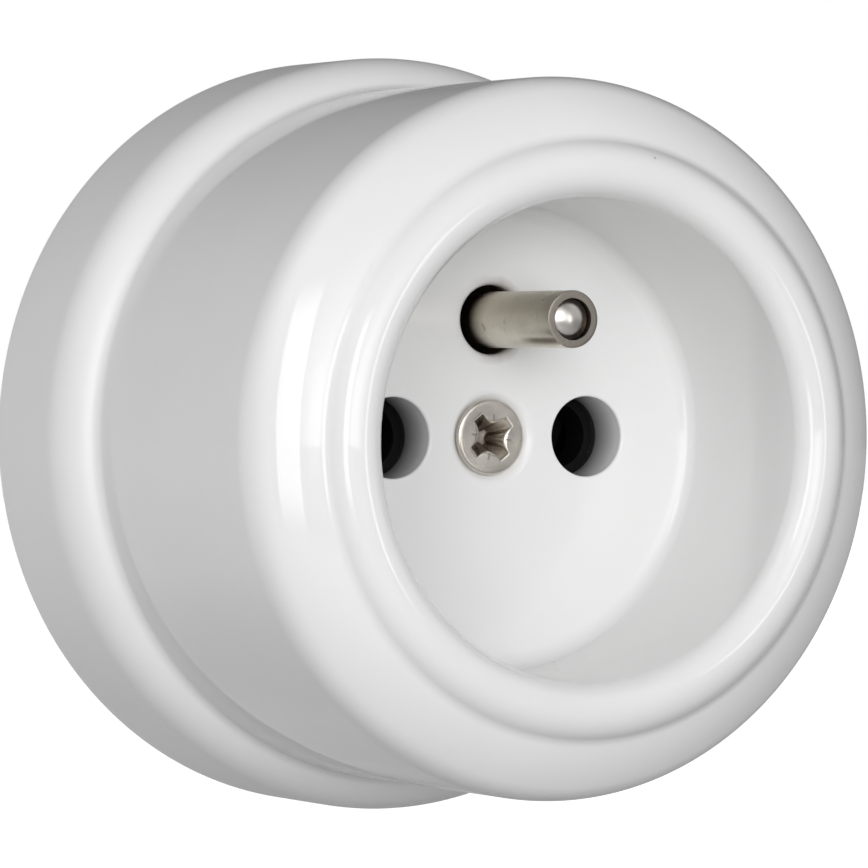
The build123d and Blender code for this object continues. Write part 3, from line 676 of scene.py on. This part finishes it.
def pale_floor(height, half=6.0):
    """Wide pale floor that keeps the shadow and runs to white in the picture."""
    mesh = bpy.data.meshes.new("floor")
    corners = ((-half, -half), (half, -half), (half, half), (-half, half))
    mesh.from_pydata([(x, y, height) for x, y in corners], [], [(0, 1, 2, 3)])
    floor = bpy.data.objects.new("floor", mesh)
    scene.collection.objects.link(floor)
    material, tree, shader, where = finish_nodes("floor_white")
    shader.inputs["Base Color"].default_value = (0.55, 0.55, 0.55, 1)
    shader.inputs["Roughness"].default_value = 0.9
    shader.inputs["Specular IOR Level"].default_value = 0.0
    shader.inputs["Emission Color"].default_value = (1, 1, 1, 1)
    reach = put(tree, "ShaderNodeVectorMath", {0: where}, operation="LENGTH").outputs["Value"]
    way = put(tree, "ShaderNodeVectorMath", {0: where}, operation="NORMALIZE").outputs["Vector"]
    across, back, _ = put(tree, "ShaderNodeSeparateXYZ", {0: way}).outputs
    shown = seen_plainly(tree, backdrop_share(tree, across, back))
    lift = math(tree, "MULTIPLY", shown, ranged(tree, reach, 0.22, 0.55, 0.3, 0.95))
    tree.links.new(lift, shader.inputs["Emission Strength"])
    mesh.materials.append(material)


def faded_ends(lamp, share):
    """Lets a lamp's glow fall away over a share of its height at both ends."""
    lamp.use_nodes = True
    tree = lamp.node_tree
    place = put(tree, "ShaderNodeNewGeometry").outputs["Parametric"]
    up = put(tree, "ShaderNodeSeparateXYZ", {0: place}).outputs["Y"]
    from_middle = math(tree, "ABSOLUTE", math(tree, "SUBTRACT", up, 0.5))
    fall = ranged(tree, from_middle, 0.5 - share, 0.5, 1.0, 0.0)
    tree.links.new(fall, tree.nodes["Emission"].inputs["Strength"])


def soft_box(name, azimuth, elevation, width, height, power, mirrored=True, fade=0.0, distance=0.6):
    """Lamp that faces the socket from a side; one that isn't mirrored leaves no streak in the glaze."""
    lamp = bpy.data.lights.new(name, "AREA")
    lamp.shape, lamp.size, lamp.size_y, lamp.energy = "RECTANGLE", width, height, power
    if fade:
        faded_ends(lamp, fade)
    way = aim(azimuth, elevation)
    made = bpy.data.objects.new(name, lamp)
    made.location = Vector((0, -25, 0)) * mm + way * distance
    made.rotation_euler = way.to_track_quat("Z", "Y").to_euler()
    made.visible_glossy = mirrored
    scene.collection.objects.link(made)


def white_room(glows):
    """White tent that glows from some sides, with a backdrop that the camera and reflections see white."""
    world = bpy.data.worlds.new("white_room")
    scene.world = world
    world.use_nodes = True
    tree = world.node_tree
    way = put(tree, "ShaderNodeTexCoord").outputs["Generated"]
    total = 0.0
    for azimuth, elevation, spread, strength in glows:
        total = math(tree, "MULTIPLY_ADD", glow(tree, way, azimuth, elevation, spread), strength, total)
    across, back, up = put(tree, "ShaderNodeSeparateXYZ", {0: way}).outputs
    low = ranged(tree, up, 0.03, 0.5, 1.0, 0.0)
    backdrop = math(tree, "MULTIPLY", backdrop_share(tree, across, back), low)
    shown = put(tree, "ShaderNodeMix", {"Factor": seen_plainly(tree, backdrop), "A": total, "B": 1.0})
    tree.links.new(shown.outputs[0], tree.nodes["Background"].inputs["Strength"])
    tree.nodes["Background"].inputs["Color"].default_value = (1, 1, 1, 1)


def studio_camera():
    """Long lens from the left, its focal length counted in widths of a pixel of the square picture."""
    roll, distance, focal, picture = radians(0.11), 0.45, 5261.18, 868
    azimuth = -29.53
    back = aim(azimuth, 0.93)
    side = Vector((cos(radians(azimuth)), sin(radians(azimuth)), 0))
    up = back.cross(side)
    right = side * cos(roll) + up * sin(roll)
    top = up * cos(roll) - side * sin(roll)
    data = bpy.data.cameras.new("camera")
    data.sensor_width = 36.0
    data.lens = data.sensor_width * focal / picture
    data.clip_start, data.clip_end = 0.01, 50.0
    camera = bpy.data.objects.new("camera", data)
    turn = Matrix((right, top, back)).transposed().to_4x4()
    looked_at = Vector((-3.43, -25.0, 0.23)) * mm
    camera.matrix_world = Matrix.Translation(looked_at + back * distance) @ turn
    scene.collection.objects.link(camera)
    scene.camera = camera


pale_floor(-0.2)
rear_left, front, upper_left = (-150.0, 5.0, 30.0, 0.47), (-15.0, 5.0, 17.5, 3.45), (-75.0, 40.0, 20.0, 1.5)
upper_right, right = (50.0, 40.0, 20.0, 0.5), (60.0, 5.0, 20.0, 0.4)
white_room([rear_left, front, upper_left, upper_right, right])
soft_box("left_window", azimuth=-43.0, elevation=7.3, width=0.16, height=0.59, power=1.04, fade=0.157)
soft_box("front_box", azimuth=-27.0, elevation=2.5, width=0.06, height=0.2, power=0.03)
soft_box("right_box", azimuth=20.0, elevation=2.5, width=0.08, height=0.2, power=0.16)
soft_box("front_fill", azimuth=-15.0, elevation=5.0, width=0.2, height=0.3, power=0.87, mirrored=False)
studio_camera()
scene.view_settings.view_transform = "Standard"
